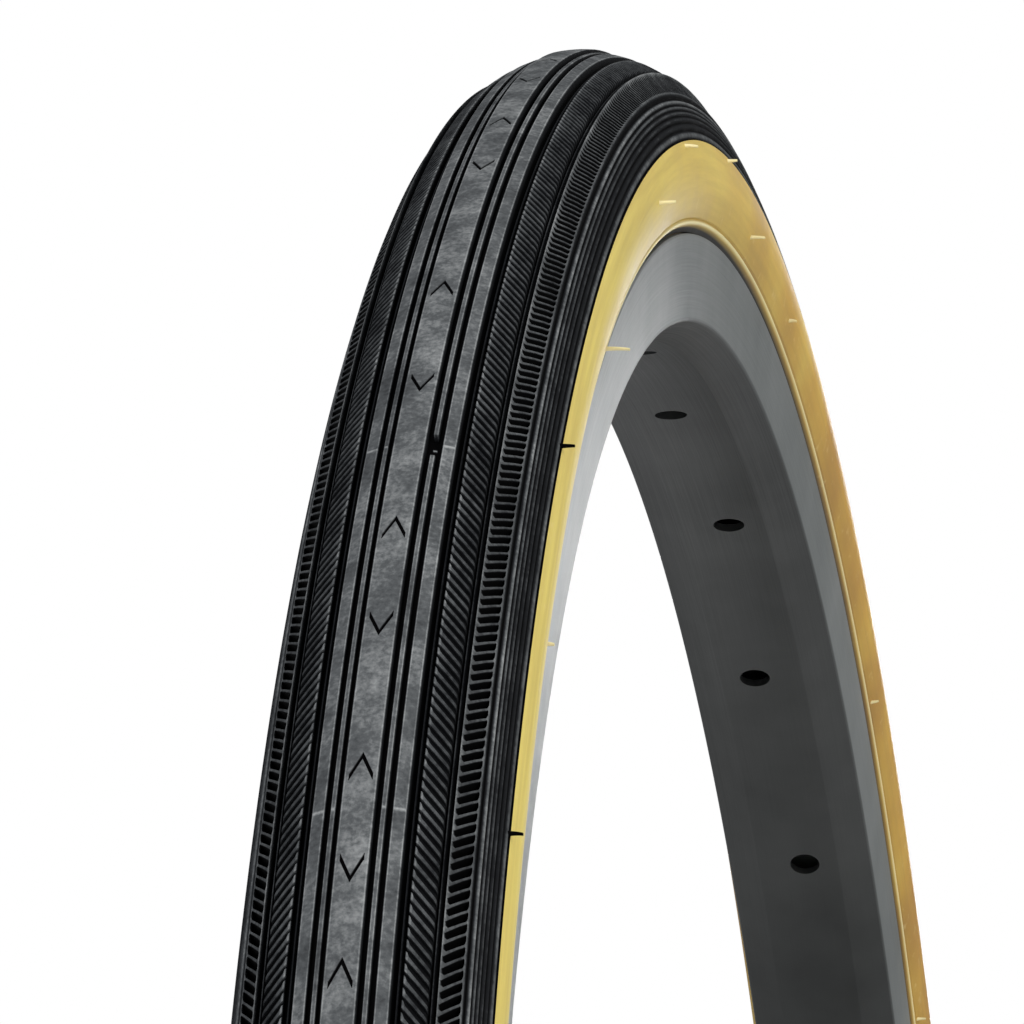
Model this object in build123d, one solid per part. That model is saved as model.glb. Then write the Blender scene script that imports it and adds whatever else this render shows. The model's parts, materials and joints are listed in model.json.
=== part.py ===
from build123d import *
from math import acos, asin, atan2, cos, degrees, hypot, radians, sin, sqrt, tan
import os

# A 27 x 1 1/4 inch (32-630) road tyre, inflated on its empty aluminium rim.
# The wheel's centre is the origin. The wheel turns about Y and stands upright along Z.
# Cross-sections are drawn as (across, out): across is measured along Y from the mid plane,
# out is the distance from the wheel's axis. The valve is at the bottom and points up at the axis.

# Tyre outside: the crown is one arc, and each gum sidewall is another.
crown_centre = 331.45
crown_radius = 15.55
tread_edge = (15.55, 333.26)
widest_point = (16.05, 328.6)
sidewall_foot = (13.62, 320.35)

# Ribs of the tread: (inner edge, outer edge, height over the crown arc), one side of the mid plane.
centre_rib = (0, 2.08, 0.40)
thin_rib = (2.64, 3.37, 0.0)
smooth_rib = (3.96, 5.69, 0.0)
slashed_rib = (6.87, 9.86, 0.0)
shoulder_ridge = (10.40, 10.90, 0.55)
narrow_groove_depth = 1.0
wide_groove_depth = 1.5
shoulder_groove_depth = 0.5
shoulder_step_depth = 0.1

# Casing: two cloth plies on a circular section, folded round the bead wires.
casing_centre = 329.1
casing_radius = 14.9
ply = 0.4
chafer_thickness = 0.35
wire_radius = 0.9
ply_end_drop = 3.4
turn_up_drop = 2.8
lip_gap = 0.15

# Rim: a double-walled extrusion, rolled and joined at the top, opposite the valve.
bead_seat = 315.0
flange_top = 319.8
flange_half_width = 13.67
flange_thickness = 1.27
foot_half_width = 12.46
foot_out = 307.13
bed_out = 304.25
bed_half_width = 6.8
rim_wall = 1.3
well_floor = 312.6
well_half_width = 7.7
seat_inner = 8.7
flange_round = 0.45
bead_gap = 0.05

# Spoke and valve holes.
spoke_count = 36
spoke_hole_radius = 2.55
access_hole_radius = 4.25
spoke_stagger = 1.18
valve_hole_radius = 4.3
sleeve_half_length = 20.0
sleeve_gap = 0.05

# Inner tube, its rubber patch and the tape it lies on.
tape_thickness = 0.7
tape_half_width = 7.4
tube_wall = 0.9
tube_round = 3.2
tube_gap = 0.1
patch_thickness = 1.2
patch_radius = 10.0

# Valve: stem, loose parts and core. Depths are measured down from the stem's tip.
stem_radius = 3.95
stem_length = 36.0
stem_foot_radius = 5.6
stem_foot = 1.0
air_bore = 1.8
barrel_bore = 2.2
barrel_bore_depth = 17.0
core_bore = 2.72
core_bore_depth = 4.7
thread_play = 0.05
nut_width = 12.0
nut_height = 3.2
washer_radius = 6.6
washer_height = 0.8
core_nut_top = 0.3
core_nut_length = 4.2
core_nut_bore = 1.6
barrel_radius = 1.75
barrel_length = 8.4
gasket_height = 1.8
pin_radius = 0.65
pin_head_radius = 1.4
pin_head = 0.8
pin_top = 0.7
seat_radius = 1.7
seat_height = 1.5
spring_wire = 0.16
spring_turns = 4.5

# Cap: a knurled cover with its own seal.
cap_radius = 5.2
cap_skirt = 6.2
cap_headroom = 3.4
cap_roof = 1.3
cap_room_radius = 3.05
seal_height = 0.8
seal_bore = 2.85
cap_ribs = 18
cap_rib_depth = 0.35

# Vents: short square rubber whiskers that stand straight out of the tyre's sides. Each row has
# its distance from the axis, its angles round the wheel and its length.
vent_width = 0.55
vent_root = 0.6
tread_vent_out = 333.75
tread_vent_angles = [140.05 + 13.15 * step for step in range(22)]
edge_vent_out = 332.6
edge_vent_angles = [105.0, 114.0]
wall_vent_out = 327.9
wall_vent_angles = [120.4]
inner_vent_out = 325.2
inner_vent_angles = [91.4, 100.2]
low_vent_out = 322.5
low_vent_angles = [130.7 + 14.2 * step for step in range(22)]
long_vent = 2.3
short_vent = 1.5

# Worked out from the values above.
flange_inner = flange_half_width - flange_thickness
wire_across = flange_inner - bead_gap - chafer_thickness - ply - wire_radius
wire_out = bead_seat + chafer_thickness + ply + wire_radius
cavity_radius = casing_radius - 2 * ply
wire_distance = hypot(wire_across, wire_out - casing_centre)
wire_angle = degrees(atan2(wire_out - casing_centre, wire_across))
leave_angle = wire_angle + degrees(acos((cavity_radius + ply + wire_radius) / wire_distance))
tape_top = well_floor + tape_thickness
tube_side = wire_across - wire_radius - ply - chafer_thickness - tube_gap
tube_reach = cavity_radius + wire_radius + ply + chafer_thickness + tube_gap
tube_angle = wire_angle + degrees(acos(tube_reach / wire_distance))
stem_seat = tape_top + tube_wall + patch_thickness
stem_tip = stem_seat + stem_foot - stem_length


def round_point(centre, radius, angle):
    """The point of a circle at an angle in degrees, measured from the across direction."""
    return (centre[0] + radius * cos(radians(angle)), centre[1] + radius * sin(radians(angle)))


def outline(*edges):
    """A closed face in the cross-section plane, from edges that meet end to end."""
    return make_face(Wire(edges))


def both_sides(half):
    """A half section that ends on the mid plane, joined to its mirror image."""
    return half + mirror(half, Plane.YZ)


def spun(face):
    """The ring that a cross-section sweeps round the wheel's axis."""
    return revolve(Plane.YZ * face, Axis.Y, 360)


def path(points):
    return [Line(start, end) for start, end in zip(points, points[1:])]


def on_crown(across, height=0.0):
    radius = crown_radius + height
    return (across, crown_centre + sqrt(radius**2 - across**2))


def crown_arc(first, last, height=0.0):
    middle = (first + last) / 2
    return ThreePointArc(on_crown(first, height), on_crown(middle, height), on_crown(last, height))


def along_ply(drop, offset):
    """A point on the straight run of the casing: drop down the run, offset from the casing centre."""
    lean = radians(leave_angle)
    across = offset * cos(lean) + drop * sin(lean)
    out = casing_centre + offset * sin(lean) - drop * cos(lean)
    return (across, out)


def casing_arc(radius, first, last):
    centre = (0, casing_centre)
    middle = (first + last) / 2
    ends = [round_point(centre, radius, angle) for angle in (first, middle, last)]
    return ThreePointArc(*ends)


def name_part(shape, name):
    shape.label = name
    return shape


# ---- Tyre ----

def vents(out, angles, skin, length):
    """Whiskers on the left side; skin is the distance across at which each leaves the rubber."""
    whisker = Pos(0, (vent_root + length) / 2, 0) * Box(vent_width, vent_root + length, vent_width)
    return [Rot(0, -angle, 0) * Pos(out, skin - vent_root, 0) * whisker for angle in angles]


def skin_at(out):
    """Distance across of the tyre's outside, by the arc from the tread's edge to the rim line."""
    arc = ThreePointArc(tread_edge, widest_point, sidewall_foot)
    centre = arc.arc_center
    return centre.X + sqrt(arc.radius**2 - (out - centre.Y) ** 2)


def tread():
    """Rubber cap with its ribs, from the mid plane to the edge over the gum sidewall."""
    grooves = [narrow_groove_depth, narrow_groove_depth, wide_groove_depth, shoulder_groove_depth]
    ribs = [centre_rib, thin_rib, smooth_rib, slashed_rib, shoulder_ridge]
    edges = []
    corner = None
    for index, (first, last, height) in enumerate(ribs):
        if corner is not None:
            edges.append(Line(corner, on_crown(first, height)))
        edges.append(crown_arc(first, last, height))
        floor = -grooves[index] if index < len(grooves) else -shoulder_step_depth
        edges.append(Line(on_crown(last, height), on_crown(last, floor)))
        corner = on_crown(last, floor)
        if index + 1 < len(ribs):
            edges.append(crown_arc(last, ribs[index + 1][0], floor))
            corner = on_crown(ribs[index + 1][0], floor)
    edge_angle = degrees(atan2(tread_edge[1] - casing_centre, tread_edge[0]))
    under_edge = round_point((0, casing_centre), casing_radius, edge_angle)
    shoulder = ((corner[0] + tread_edge[0]) / 2, on_crown((corner[0] + tread_edge[0]) / 2)[1])
    edges.append(ThreePointArc(corner, shoulder, tread_edge))
    edges.append(Line(tread_edge, under_edge))
    edges.append(casing_arc(casing_radius, edge_angle, 90))
    edges.append(Line((0, casing_centre + casing_radius), on_crown(0, centre_rib[2])))
    whiskers = vents(tread_vent_out, tread_vent_angles, skin_at(tread_vent_out), long_vent)
    whiskers += [other_side(whisker) for whisker in whiskers]
    return spun(both_sides(outline(*edges))) + whiskers


def sidewall():
    """Gum rubber from under the tread's edge to the lip over the rim flange, with its vents."""
    edge_angle = degrees(atan2(tread_edge[1] - casing_centre, tread_edge[0]))
    under_edge = round_point((0, casing_centre), casing_radius, edge_angle)
    leave = along_ply(0, casing_radius)
    toe_inner = along_ply(turn_up_drop, casing_radius)
    toe_outer = (flange_inner - bead_gap, along_ply(turn_up_drop, casing_radius + ply + chafer_thickness)[1])
    lip_out = flange_top + lip_gap
    wall = spun(outline(
        ThreePointArc(tread_edge, widest_point, sidewall_foot),
        Line(sidewall_foot, (sidewall_foot[0] - lip_gap, lip_out)),
        Line((sidewall_foot[0] - lip_gap, lip_out), (toe_outer[0], lip_out)),
        Line((toe_outer[0], lip_out), toe_outer),
        Line(toe_outer, toe_inner),
        Line(toe_inner, leave),
        casing_arc(casing_radius, leave_angle, edge_angle),
        Line(under_edge, tread_edge),
    ))
    wall += vents(edge_vent_out, edge_vent_angles, skin_at(edge_vent_out), long_vent)
    wall += vents(wall_vent_out, wall_vent_angles, skin_at(wall_vent_out), long_vent)
    wall += vents(inner_vent_out, inner_vent_angles, skin_at(inner_vent_out), short_vent)
    return wall + vents(low_vent_out, low_vent_angles, skin_at(low_vent_out), short_vent)


def casing_ply_outer():
    """The straight-ended ply that lies directly under the tread and sidewalls."""
    outer = casing_radius
    inner = casing_radius - ply
    half = outline(
        casing_arc(outer, 90, leave_angle),
        *path([along_ply(0, outer), along_ply(ply_end_drop, outer),
               along_ply(ply_end_drop, inner), along_ply(0, inner)]),
        casing_arc(inner, leave_angle, 90),
        Line((0, casing_centre + inner), (0, casing_centre + outer)),
    )
    return spun(both_sides(half))


def wire_drop():
    """How far down the casing's straight run the bead wire lies."""
    lean = radians(leave_angle)
    return wire_across * sin(lean) - (wire_out - casing_centre) * cos(lean)


def knee(offset):
    """Where cloth at an offset from the wire turns away from the outer ply."""
    drop_to_wire = wire_drop() - ply_end_drop
    side = wire_radius - ply
    reach = hypot(drop_to_wire, side)
    turn = atan2(side, drop_to_wire) + asin(wire_radius / reach)
    return along_ply(ply_end_drop - offset * tan(turn / 2), casing_radius + offset), turn


def wire_edges(offset, inner_end):
    """The path at an offset from the wire: down the outside, round the wire, up the inside."""
    wire = (wire_across, wire_out)
    radius = wire_radius + offset
    corner, turn = knee(offset)
    outside_angle = leave_angle + degrees(turn)
    inside_angle = leave_angle - 180
    leave_wire = round_point(wire, radius, outside_angle)
    lowest = round_point(wire, radius, (outside_angle + inside_angle) / 2)
    inside = round_point(wire, radius, inside_angle)
    edges = [Line(along_ply(turn_up_drop, casing_radius + offset), corner)]
    edges.append(Line(corner, leave_wire))
    edges.append(ThreePointArc(leave_wire, lowest, inside))
    if inner_end is not None:
        edges.append(Line(inside, along_ply(inner_end, casing_radius - ply - offset)))
    return edges


def casing_ply_inner():
    """The ply that lines the tyre, passes under each bead wire and turns up outside it."""
    outer = casing_radius - ply
    inner = outer - ply
    half = outline(
        casing_arc(inner, 90, leave_angle),
        *wire_edges(ply, 0),
        Line(along_ply(turn_up_drop, casing_radius + ply), along_ply(turn_up_drop, casing_radius)),
        *wire_edges(0, 0),
        casing_arc(outer, leave_angle, 90),
        Line((0, casing_centre + outer), (0, casing_centre + inner)),
    )
    return spun(both_sides(half))


def bead_wire():
    """Steel hoop that holds the bead on its seat."""
    return spun(Pos(wire_across, wire_out) * Circle(wire_radius))


def bead_filler():
    """Rubber wedge between the outer ply's end, the turned-up cloth and the wire."""
    wire = (wire_across, wire_out)
    corner, turn = knee(0)
    outside_angle = leave_angle + degrees(turn)
    outside = round_point(wire, wire_radius, outside_angle)
    inside = round_point(wire, wire_radius, leave_angle + 180)
    top = round_point(wire, wire_radius, (outside_angle + leave_angle + 180) / 2)
    return spun(outline(
        Line(along_ply(ply_end_drop, casing_radius - ply), corner),
        Line(corner, outside),
        ThreePointArc(outside, top, inside),
        Line(inside, along_ply(ply_end_drop, casing_radius - ply)),
    ))


def bead_chafer():
    """Rubbered cloth strip that guards the bead against the rim."""
    outer = ply + chafer_thickness
    inside_angle = leave_angle - 180
    wire = (wire_across, wire_out)
    ends = [round_point(wire, wire_radius + offset, inside_angle) for offset in (outer, ply)]
    return spun(outline(
        *wire_edges(outer, None),
        Line(*ends),
        *wire_edges(ply, None),
        Line(along_ply(turn_up_drop, casing_radius + ply), along_ply(turn_up_drop, casing_radius + outer)),
    ))


# ---- Tube, tape and rim ----

def tube_section(inset):
    """The inflated tube's section, shrunk by an inset from its outside."""
    radius = cavity_radius - inset
    lean = radians(tube_angle)
    side = tube_side - inset
    bottom = tape_top + inset
    leave = round_point((0, casing_centre), radius, tube_angle)
    corner = (side, casing_centre + (radius - side * cos(lean)) / sin(lean))
    bend = max(tube_round - inset, 0.4)
    half = outline(
        casing_arc(radius, 90, tube_angle),
        *path([leave, corner, (side, bottom + bend)]),
        ThreePointArc((side, bottom + bend), round_point((side - bend, bottom + bend), bend, -45),
                      (side - bend, bottom)),
        *path([(side - bend, bottom), (0, bottom), (0, casing_centre + radius)]),
    )
    return both_sides(half)


def valve_rod(radius, near, far, hole=0.0):
    """A cylinder on the valve's axis between two distances from the wheel's axis."""
    rod = Pos(0, 0, -far) * Cylinder(radius, far - near, align=(Align.CENTER, Align.CENTER, Align.MIN))
    if hole:
        rod -= Pos(0, 0, -far) * Cylinder(hole, far - near, align=(Align.CENTER, Align.CENTER, Align.MIN))
    return rod


def inner_tube():
    tube = spun(tube_section(0)) - spun(tube_section(tube_wall))
    return tube - valve_rod(stem_radius, tape_top - 5, stem_seat)


def valve_patch():
    """Rubber moulded over the tube's inside wall round the valve."""
    layer = spun(tube_section(tube_wall)) - spun(tube_section(tube_wall + patch_thickness))
    depth = tube_wall + patch_thickness
    disc = valve_rod(patch_radius, tape_top, tape_top + 3 * depth, stem_radius)
    return layer & disc


def rim_profile():
    """Half of the extrusion, hollow between the spoke bed and the well."""
    side_slope = (flange_half_width - foot_half_width) / (flange_top - foot_out)
    roof = well_floor - rim_wall
    ledge = bead_seat - rim_wall
    shell = outline(*path([
        (0, bed_out), (bed_half_width, bed_out), (foot_half_width, foot_out),
        (flange_half_width, flange_top), (flange_inner, flange_top), (flange_inner, bead_seat),
        (seat_inner, bead_seat), (well_half_width, well_floor), (0, well_floor), (0, bed_out),
    ]))
    top_corners = shell.vertices().group_by(Axis.Y)[-1]
    shell = fillet(top_corners, flange_round)
    foot_side = foot_half_width - rim_wall
    chamber_top_side = foot_side + side_slope * (ledge - foot_out)
    rise = (foot_out - bed_out) / (foot_half_width - bed_half_width)
    chamber = outline(*path([
        (0, bed_out + rim_wall), (bed_half_width, bed_out + rim_wall),
        (foot_side, bed_out + rim_wall + rise * (foot_side - bed_half_width)),
        (chamber_top_side, ledge), (seat_inner + rim_wall, ledge),
        (well_half_width + rim_wall, roof), (0, roof), (0, bed_out + rim_wall),
    ]))
    return shell, chamber


def spoke_holes():
    """Nipple holes through the bed and wider access holes through the well, to left and right in turn."""
    middle = (well_floor + bed_out) / 2
    holes = []
    for index in range(spoke_count):
        angle = (index + 0.5) * 360 / spoke_count
        across = spoke_stagger if index % 2 else -spoke_stagger
        lower = Pos(0, across, bed_out - 2) * Cylinder(
            spoke_hole_radius, middle - bed_out + 2, align=(Align.CENTER, Align.CENTER, Align.MIN))
        upper = Pos(0, across, middle) * Cylinder(
            access_hole_radius, well_floor - middle + 1, align=(Align.CENTER, Align.CENTER, Align.MIN))
        holes.append(Rot(0, angle, 0) * (lower + upper))
    return holes


def rim():
    shell, chamber = rim_profile()
    ring = spun(both_sides(shell)) - spun(both_sides(chamber))
    for hole in spoke_holes():
        ring -= hole
    return ring - valve_rod(valve_hole_radius, bed_out - 3, well_floor + 3)


def rim_sleeve():
    """Insert pressed into the hollow rim across its rolled joint."""
    chamber = rim_profile()[1]
    section = offset(both_sides(chamber), -sleeve_gap, kind=Kind.INTERSECTION)
    half_turn = degrees(sleeve_half_length / bed_out)
    swept = revolve(Plane.YZ * section, Axis.Y, 2 * half_turn)
    return Rot(0, -half_turn, 0) * swept


def rim_tape():
    """Cloth band that covers the access holes in the well."""
    section = outline(*path([
        (0, well_floor), (tape_half_width, well_floor), (tape_half_width, tape_top),
        (0, tape_top), (0, well_floor)]))
    return spun(both_sides(section)) - valve_rod(valve_hole_radius, well_floor - 3, tape_top + 3)


# ---- Valve ----

def valve_stem():
    stem = valve_rod(stem_radius, stem_tip, stem_seat)
    stem += valve_rod(stem_foot_radius, stem_seat, stem_seat + stem_foot)
    stem -= valve_rod(air_bore, stem_tip - 1, stem_seat + stem_foot + 1)
    stem -= valve_rod(barrel_bore, stem_tip - 1, stem_tip + barrel_bore_depth)
    return stem - valve_rod(core_bore, stem_tip - 1, stem_tip + core_bore_depth)


def washer_seat():
    """Distance from the axis at which a flat washer rests on the curved rim bed."""
    return sqrt(bed_out**2 - washer_radius**2) - bead_gap


def stem_washer():
    seat = washer_seat()
    return valve_rod(washer_radius, seat - washer_height, seat, stem_radius + thread_play)


def stem_nut():
    """Hexagonal lock nut with chamfered corners."""
    seat = washer_seat() - washer_height
    hexagon = RegularPolygon(nut_width / 2, 6, major_radius=False)
    nut = Pos(0, 0, -seat) * extrude(hexagon, nut_height)
    corner = nut_width / 2 / cos(radians(30))
    blank = chamfer(Cylinder(corner, nut_height).edges(), (corner - nut_width / 2) * 0.8)
    nut = nut & (Pos(0, 0, -seat + nut_height / 2) * blank)
    return nut - valve_rod(stem_radius + thread_play, seat - nut_height - 1, seat + 1)


def core_level(depth):
    return stem_tip + depth


barrel_top = core_nut_top + core_nut_length


def core_nut():
    """Threaded head that pulls the core down into the stem, with two flats for the key."""
    near = core_level(core_nut_top)
    nut = valve_rod(core_bore - thread_play, near, near + core_nut_length, core_nut_bore)
    flat_depth = 1.6
    flat_half_width = core_bore * 0.68
    for side in (-1, 1):
        block = Box(2 * core_bore, core_bore, flat_depth)
        place = (0, side * (flat_half_width + core_bore / 2), -near - flat_depth / 2)
        nut -= Pos(*place) * block
    return nut


def core_barrel():
    """Brass tube under the head; the pin slides in it and the air passes round the pin."""
    near = core_level(barrel_top)
    tube = valve_rod(barrel_radius, near, near + barrel_length, pin_radius + thread_play)
    room_depth = barrel_length - 2.0
    return tube - valve_rod(pin_radius + 0.55, near + 2.0, near + room_depth + 1.0)


def core_gasket():
    near = core_level(core_bore_depth + 0.3)
    return valve_rod(barrel_bore - thread_play, near, near + gasket_height, barrel_radius)


def core_pin():
    head = core_level(pin_top)
    bottom = core_level(barrel_top) + barrel_length + seat_height + 0.4
    pin = valve_rod(pin_radius, head, bottom)
    pin += valve_rod(pin_head_radius, head, head + pin_head)
    return pin + valve_rod(pin_radius * 1.6, bottom - 0.4, bottom + 0.2)


def core_seat():
    """Rubber disc on the pin that closes the barrel's lower end."""
    near = core_level(barrel_top) + barrel_length
    return valve_rod(seat_radius, near, near + seat_height, pin_radius)


def core_spring():
    """Coil round the pin, between its head and the barrel."""
    top = core_level(pin_top + pin_head)
    height = core_level(barrel_top) - top - 2 * spring_wire
    coil_radius = core_nut_bore - spring_wire - 0.12
    coil = Helix(height / spring_turns, height, coil_radius)
    start = Plane(origin=coil @ 0, z_dir=coil % 0)
    wire = sweep(start * Circle(spring_wire), path=coil)
    return Pos(0, 0, -core_level(barrel_top) + spring_wire) * wire


def cap_floor():
    return stem_tip + cap_skirt


def cap_top():
    return stem_tip - cap_headroom - cap_roof


def valve_cap():
    """Cover with a round roof, finger ribs and a step that holds the seal."""
    body = valve_rod(cap_radius, cap_top(), cap_floor())
    body = fillet(body.edges().group_by(Axis.Z)[-1], cap_roof)
    rib_height = cap_skirt - 0.8
    notch = cap_rib_depth
    for index in range(cap_ribs):
        turn = Rot(0, 0, index * 360 / cap_ribs)
        place = turn * Pos(cap_radius + notch * 0.2, 0, -cap_floor() + rib_height / 2)
        body -= place * Cylinder(notch, rib_height)
    body -= valve_rod(stem_radius + thread_play, stem_tip - seal_height, cap_floor() + 1)
    return body - valve_rod(cap_room_radius, stem_tip - cap_headroom, cap_floor() + 1)


def cap_seal():
    return valve_rod(stem_radius, stem_tip - seal_height, stem_tip, seal_bore)


def other_side(shape):
    return mirror(shape, Plane.XZ)


def build():
    """Every piece by name. Left is +Y, right is -Y."""
    pieces = {"tread": tread(), "casing_ply_outer": casing_ply_outer(),
              "casing_ply_inner": casing_ply_inner()}
    paired = {"sidewall": sidewall, "bead_wire": bead_wire, "bead_filler": bead_filler,
              "bead_chafer": bead_chafer}
    for name, make in paired.items():
        left = make()
        pieces[name + "_left"] = left
        pieces[name + "_right"] = other_side(left)
    pieces["inner_tube"] = inner_tube()
    pieces["valve_patch"] = valve_patch()
    pieces["rim"] = rim()
    pieces["rim_sleeve"] = rim_sleeve()
    pieces["rim_tape"] = rim_tape()
    pieces["valve_stem"] = valve_stem()
    pieces["stem_washer"] = stem_washer()
    pieces["stem_nut"] = stem_nut()
    pieces["core_nut"] = core_nut()
    pieces["core_barrel"] = core_barrel()
    pieces["core_gasket"] = core_gasket()
    pieces["core_pin"] = core_pin()
    pieces["core_seat"] = core_seat()
    pieces["core_spring"] = core_spring()
    pieces["valve_cap"] = valve_cap()
    pieces["cap_seal"] = cap_seal()
    return pieces


os.makedirs("parts", exist_ok=True)
for name, shape in build().items():
    export_step(name_part(shape, name), os.path.join("parts", name + ".step"))
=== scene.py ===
"""A gum-wall road tyre on its drilled rim: the detailed surfaces, materials, light and camera."""
import json
import math
import random

import bpy
import numpy as np
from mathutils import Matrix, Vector

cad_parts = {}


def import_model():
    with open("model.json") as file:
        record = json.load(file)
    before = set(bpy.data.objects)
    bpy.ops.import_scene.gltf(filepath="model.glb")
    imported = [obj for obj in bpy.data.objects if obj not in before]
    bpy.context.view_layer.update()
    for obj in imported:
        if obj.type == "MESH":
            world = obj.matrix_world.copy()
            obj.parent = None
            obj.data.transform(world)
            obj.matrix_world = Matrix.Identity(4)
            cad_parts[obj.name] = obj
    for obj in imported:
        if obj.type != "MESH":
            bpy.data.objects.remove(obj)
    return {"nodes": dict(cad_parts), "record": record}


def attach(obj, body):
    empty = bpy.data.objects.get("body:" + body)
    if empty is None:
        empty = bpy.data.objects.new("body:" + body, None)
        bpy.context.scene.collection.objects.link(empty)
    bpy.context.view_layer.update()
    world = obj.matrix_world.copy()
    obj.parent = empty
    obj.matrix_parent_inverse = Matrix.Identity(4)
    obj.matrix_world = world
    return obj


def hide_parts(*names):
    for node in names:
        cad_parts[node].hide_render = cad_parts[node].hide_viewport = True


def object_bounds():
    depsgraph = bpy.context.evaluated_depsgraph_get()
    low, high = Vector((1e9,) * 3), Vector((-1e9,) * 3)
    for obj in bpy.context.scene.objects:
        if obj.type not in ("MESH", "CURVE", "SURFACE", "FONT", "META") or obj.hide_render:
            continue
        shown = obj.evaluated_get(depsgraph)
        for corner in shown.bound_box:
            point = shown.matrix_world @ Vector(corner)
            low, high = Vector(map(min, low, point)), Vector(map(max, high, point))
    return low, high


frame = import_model()
cad_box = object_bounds()

MM = 0.001
TURN = 2 * math.pi

# The tyre's section, as in the CAD model: (across, out) in millimetres.
CROWN_CENTRE = 331.45
CROWN_RADIUS = 15.55
TREAD_EDGE = (15.55, 333.26)
WIDEST = (16.05, 328.6)
GUM_FOOT = (13.62, 320.35)
CASING_CENTRE = 329.1
CASING_RADIUS = 14.9
CROWN_OUT = CROWN_CENTRE + CROWN_RADIUS
RING_STEPS = 720

# Rows of the tread that repeat round the wheel.
ROW_COUNT = 1240
SLASH_SLOPE = 1.05
SLASH_DEPTH = 0.45
LADDER_SLOPE = 1.6
THIN_RIB = (2.64, 3.37)
SMOOTH_RIB = (3.96, 5.69)
CHEVRON_SPACING = 4.0
UNEVEN_CHEVRONS = (130.1, 136.6, 141.3, 146.0, 149.6, 153.1, 156.3, 158.3)

# Ridges of the shoulder: place from the ladder to the gum, half width, height and tone.
SHOULDER_GROOVE = 0.30
SHOULDER_RIDGES = ((0.21, 0.08, 0.02, 0.74), (0.37, 0.06, -0.04, 0.58), (0.51, 0.06, -0.05, 0.48),
                   (0.65, 0.06, -0.05, 0.40), (0.79, 0.06, -0.05, 0.34), (0.93, 0.06, -0.02, 0.62))

# Where the mould's segments met: angles in degrees, and whether the thin rib has a gap there.
# The gap has a side, and a start and end along the rib in millimetres.
MOULD_JOINTS = {143.3: True, 154.4: False}
JOINT_GAP = (-1, -2.0, 2.0)
MARK_STEP = 0.0011
FLASH_HEIGHT = 0.05

# Moulding vents: angles in degrees and distances out, as in the CAD model.
VENT_RADIUS = 0.27
LONG_VENT = 2.3
SHORT_VENT = 1.5
LONG_VENTS_FROM = 327
TREAD_VENT_OUT = 333.75
LOW_VENT_OUT = 322.5
TREAD_VENTS = [140.05 + 13.15 * step for step in range(22)]
LOW_VENTS = [130.7 + 14.2 * step for step in range(22)]
WALL_VENTS = [(105.0, 332.6), (114.0, 332.6), (120.4, 327.9), (91.4, 325.2), (100.2, 325.2)]
# Where vents have worn off, for each side: all of them on the left, only the tread's on the right.
WORN_OFF = {1: (30, 170), -1: (30, 135)}
# Lengths of the vents that differ from their row's.
VENT_LENGTHS = {130.7: 3.2, 140.05: 1.7, 153.2: 2.3, 120.4: 2.3, 100.2: 2.2}


def material(name, build):
    """A node material; build gets a helper that adds nodes and the main shader."""
    made = bpy.data.materials.new(name)
    made.use_nodes = True
    nodes = Nodes(made.node_tree)
    build(nodes)
    return made


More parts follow.
